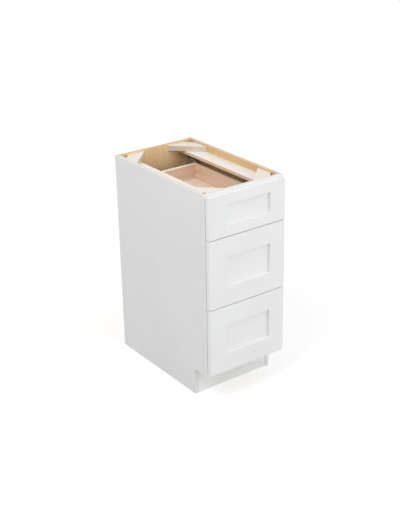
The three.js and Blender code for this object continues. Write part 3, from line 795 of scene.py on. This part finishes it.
# ---- Slide screws ----
# The drawer members are held by three domed screws each in the holes of their webs, and each rear
# bracket by two in its foot. The outer channels' screws have flat heads, so that the balls pass.
STILE_EDGE = 0.1524
SLIDE_SHEET = 0.0012
SLIDE_HOLE_INSET = 0.035
STILE_SCREW_Y = -0.285
BRACKET_SHEET = 0.0015
BRACKET_FOOT = (0.1511, 0.172625)
BRACKET_HOLE_SPACING = 0.05
SLIDE_HEAD = (0.0038, 0.0020)
STILE_HEAD = (0.0034, 0.0009)
BRACKET_HEAD = (0.0040, 0.0021)
FLAT = [(0.9, 1.0), (1.0, 0.8), (1.0, 0.0)]
for drawer in ("top", "middle", "bottom"):
    for side, hand in (("left", -1), ("right", 1)):
        low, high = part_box(drawer + "_slide_drawer_member_" + side)
        middle_z = (low.z + high.z) / 2
        points, faces = [], []
        web = (low.x if hand > 0 else high.x) + hand * SLIDE_SHEET
        for y in (low.y + SLIDE_HOLE_INSET, (low.y + high.y) / 2, high.y - SLIDE_HOLE_INSET):
            add_screw_head(points, faces, (web, y, middle_z), (hand, 0, 0), *SLIDE_HEAD, DOMED)
        name = drawer + "_slide_screws_" + side
        add_piece(name, points, faces, screw_steel, drawer + "_drawer")
        low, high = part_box(drawer + "_slide_cabinet_member_" + side)
        points, faces = [], []
        place = (hand * (STILE_EDGE - SLIDE_SHEET), STILE_SCREW_Y, middle_z)
        add_screw_head(points, faces, place, (-hand, 0, 0), *STILE_HEAD, FLAT)
        name = drawer + "_stile_screw_" + side
        add_piece(name, points, faces, screw_steel, "root")
        points, faces = [], []
        foot_x = hand * sum(BRACKET_FOOT) / 2
        for rise in (-BRACKET_HOLE_SPACING / 2, BRACKET_HOLE_SPACING / 2):
            place = (foot_x, high.y - BRACKET_SHEET, middle_z + rise)
            add_screw_head(points, faces, place, (0, -1, 0), *BRACKET_HEAD, DOMED)
        name = drawer + "_bracket_screws_" + side
        add_piece(name, points, faces, screw_steel, "root")

# ---- Release levers ----
# A black plastic lever in each drawer member, riveted at its rear end. Pressed aside through the
# channel's open side, it lets the drawer be lifted out of its slides.
LEVER_FACE = 0.0113
LEVER_THICKNESS = 0.0024
LEVER_PIVOT = -0.016
LEVER_HEAD = 0.005
LEVER_ARM = [
    (0.012, 0.0032), (0.025, 0.0036), (0.036, 0.0052), (0.043, 0.0075), (0.0455, 0.0055),
    (0.044, 0.0035), (0.038, 0.0005), (0.025, -0.0022), (0.012, -0.003),
]
RIVET_RADIUS = 0.0024
RIVET = [(1.0, 0.0), (1.0, 0.0003), (0.8, 0.0006), (0.4, 0.0008)]
RIVET_SUNK = 0.0001


def black_plastic():
    material, tree, surface, place, _ = new_finish("black_plastic")
    fine = mottle(tree, place, 1800, 2.0)
    broad = mottle(tree, place, 90, 2.0)
    colour = tint(tree, broad, tone(30, 30, 32), tone(46, 46, 48))
    sheen = calc(tree, "MULTIPLY_ADD", broad, 0.15, 0.35)
    lay_on(tree, surface, colour, sheen, fine, depth=0.00002)
    return material


lever_plastic = black_plastic()
head = [
    (-LEVER_HEAD * math.cos(math.radians(angle)), LEVER_HEAD * math.sin(math.radians(angle)))
    for angle in range(-120, 121, 20)
]
for drawer in ("top", "middle", "bottom"):
    for side, hand in (("left", -1), ("right", 1)):
        low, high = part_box(drawer + "_slide_drawer_member_" + side)
        middle_z = (low.z + high.z) / 2
        pivot_y = (low.y + high.y) / 2 + LEVER_PIVOT
        shape = [(-forward, up) for forward, up in head + LEVER_ARM]
        count = len(shape)
        points, faces = [], []
        for depth in (LEVER_FACE, LEVER_FACE - LEVER_THICKNESS):
            x = hand * (STILE_EDGE - depth)
            points += [Vector((x, pivot_y + forward, middle_z + up)) for forward, up in shape]
        for corner in range(count):
            after = (corner + 1) % count
            wall = (corner, after, count + after, count + corner)
            faces.append(wall if hand > 0 else wall[::-1])
        caps = (tuple(range(count - 1, -1, -1)), tuple(range(count, 2 * count)))
        faces += caps if hand > 0 else [cap[::-1] for cap in caps]
        name = drawer + "_release_lever_" + side
        add_piece(name, points, faces, lever_plastic, drawer + "_drawer")
        points, faces = [], []
        lever_top = STILE_EDGE - LEVER_FACE + LEVER_THICKNESS
        place = (hand * (lever_top - RIVET_SUNK), pivot_y, middle_z)
        add_dome(points, faces, place, (hand, 0, 0), RIVET_RADIUS, RIVET, sides=16)
        name = drawer + "_lever_rivet_" + side
        add_piece(name, points, faces, screw_steel, drawer + "_drawer")

# ---- Ball cages ----
# In each slide two strips of thin steel, bent over at both edges, hold the balls apart: one between
# the outer and the middle channel, and one between the middle channel and the drawer's.
CAGE_SHEET = 0.0006
CAGES = {
    "outer": {"web": 0.0022, "tip": 0.0086, "rise": 0.01995, "ball": 0.0065, "half": "rear"},
    "inner": {"web": 0.0052, "tip": 0.0094, "rise": 0.01535, "ball": 0.0076, "half": "front"},
}
CAGE_LENGTH = 0.2
CAGE_END_ROOM = 0.008
BALL_RADIUS = 0.0016
BALL_PITCH = 0.022
FIRST_BALL = 0.6
BALL = [
    (math.sin(math.radians(angle)), -math.cos(math.radians(angle)) * BALL_RADIUS)
    for angle in range(20, 161, 20)
]


def add_strip(points, faces, section, start, end):
    """A closed section, given as x and z, drawn out along y."""
    first = len(points)
    count = len(section)
    for y in (start, end):
        points.extend(Vector((x, y, z)) for x, z in section)
    for corner in range(count):
        after = (corner + 1) % count
        faces.append((first + corner, first + after, first + count + after, first + count + corner))
    faces.append(tuple(range(first + count - 1, first - 1, -1)))
    faces.append(tuple(range(first + count, first + 2 * count)))


ball_steel = bright_steel("ball_steel", tone(214, 216, 218), tone(196, 198, 200), 0.10)
cage_steel = bright_steel("cage_steel", tone(180, 180, 176), tone(152, 152, 148), 0.30)
for drawer in ("top", "middle", "bottom"):
    for side, hand in (("left", -1), ("right", 1)):
        low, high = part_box(drawer + "_slide_middle_member_" + side)
        middle_z = (low.z + high.z) / 2
        strip_points, strip_faces, ball_points, ball_faces = [], [], [], []
        for cage in CAGES.values():
            near_web, far_web = cage["web"] - CAGE_SHEET / 2, cage["web"] + CAGE_SHEET / 2
            over, under = cage["rise"] + CAGE_SHEET / 2, cage["rise"] - CAGE_SHEET / 2
            tip = cage["tip"]
            profile = [
                (tip, over), (near_web, over), (near_web, -over), (tip, -over),
                (tip, -under), (far_web, -under), (far_web, under), (tip, under),
            ]
            section = [(hand * (STILE_EDGE - x), middle_z + z) for x, z in profile]
            if hand > 0:
                section.reverse()
            if cage["half"] == "rear":
                start = high.y - CAGE_END_ROOM - CAGE_LENGTH
            else:
                start = low.y + CAGE_END_ROOM
            add_strip(strip_points, strip_faces, section, start, start + CAGE_LENGTH)
            balls = int(CAGE_LENGTH / BALL_PITCH)
            for number in range(balls):
                y = start + BALL_PITCH * (number + FIRST_BALL)
                for rise in (-cage["rise"], cage["rise"]):
                    place = (hand * (STILE_EDGE - cage["ball"]), y, middle_z + rise)
                    add_dome(ball_points, ball_faces, place, (0, 0, 1), BALL_RADIUS, BALL, sides=10)
        name, body = drawer + "_ball_cages_" + side, drawer + "_slide_middle"
        add_piece(name, strip_points, strip_faces, cage_steel, body)
        name = drawer + "_balls_" + side
        add_piece(name, ball_points, ball_faces, ball_steel, body)

# ---- Studio ----
# A white floor that keeps a soft shadow under the cabinet, four large lamps in front, low in front,
# high on the left and on the right, and an even white room.
FLOOR_HALF = 60
FLOOR_DROP = 0.0002
FLOOR_GLOW = 0.69
LESS_GLOW_NEAR = 0.13
GLOW_FALL = 0.5
ROOM_LIGHT = 0.625
LAMP_SIZE = 2.0
LAMP_TARGET = Vector((0, 0, 0.5))
floor_mesh = bpy.data.meshes.new("studio_floor")
corner_signs = ((-1, -1), (1, -1), (1, 1), (-1, 1))
floor_corners = [(FLOOR_HALF * x, FLOOR_HALF * y, 0) for x, y in corner_signs]
floor_mesh.from_pydata(floor_corners, [], [(0, 1, 2, 3)])
floor = bpy.data.objects.new("studio_floor", floor_mesh)
floor.location.z = -FLOOR_DROP
bpy.context.scene.collection.objects.link(floor)
floor_paint = bpy.data.materials.new("studio_floor")
floor_paint.use_nodes = True
floor_tree = floor_paint.node_tree
floor_surface = floor_tree.nodes["Principled BSDF"]
floor_surface.inputs["Base Color"].default_value = (0.50, 0.50, 0.50, 1)
floor_surface.inputs["Roughness"].default_value = 0.9
floor_surface.inputs["Specular IOR Level"].default_value = 0.0


def seen_share(tree):
    """1 where something is seen, straight on or in a gloss or through a clear piece, else 0."""
    path = step(tree, "LightPath").outputs
    in_clear = calc(tree, "MAXIMUM", path["Is Glossy Ray"], path["Is Transmission Ray"])
    return calc(tree, "MAXIMUM", path["Is Camera Ray"], in_clear)


spot = step(floor_tree, "TexCoord").outputs["Object"]
away = step(floor_tree, "VectorMath", {0: spot}, operation="LENGTH").outputs["Value"]
nearness = calc(floor_tree, "EXPONENT", calc(floor_tree, "MULTIPLY", away, -GLOW_FALL))
lit = calc(floor_tree, "MULTIPLY_ADD", nearness, -LESS_GLOW_NEAR, FLOOR_GLOW)
strength = calc(floor_tree, "MULTIPLY", seen_share(floor_tree), lit)
glow = step(floor_tree, "Emission", {"Color": (1, 1, 1, 1), "Strength": strength})
whole = step(floor_tree, "AddShader", {0: floor_surface.outputs[0], 1: glow.outputs[0]})
floor_tree.links.new(whole.outputs[0], floor_tree.nodes["Material Output"].inputs["Surface"])
floor_mesh.materials.append(floor_paint)


def add_lamp(name, place, power):
    lamp = bpy.data.lights.new(name, "AREA")
    lamp.shape = "SQUARE"
    lamp.size = LAMP_SIZE
    lamp.energy = power
    made = bpy.data.objects.new(name, lamp)
    made.location = place
    made.rotation_euler = (LAMP_TARGET - Vector(place)).to_track_quat("-Z", "Y").to_euler()
    bpy.context.scene.collection.objects.link(made)


add_lamp("front_lamp", (0.5, -3.8, 2.6), 15)
add_lamp("low_front_lamp", (0.2, -3.6, 1.0), 20.5)
add_lamp("high_left_lamp", (-2.45, -0.6, 3.5), 52)
add_lamp("right_lamp", (3.0, -2.6, 2.6), 27)

world = bpy.data.worlds.new("white_room")
world.use_nodes = True
room = world.node_tree
sky = room.nodes["Background"]
room.links.new(fade(room, seen_share(room), 0.0, 1.0, ROOM_LIGHT, 1.0), sky.inputs["Strength"])
sky.inputs["Color"].default_value = (1, 1, 1, 1)
bpy.context.scene.world = world
bpy.context.scene.view_settings.view_transform = "Standard"
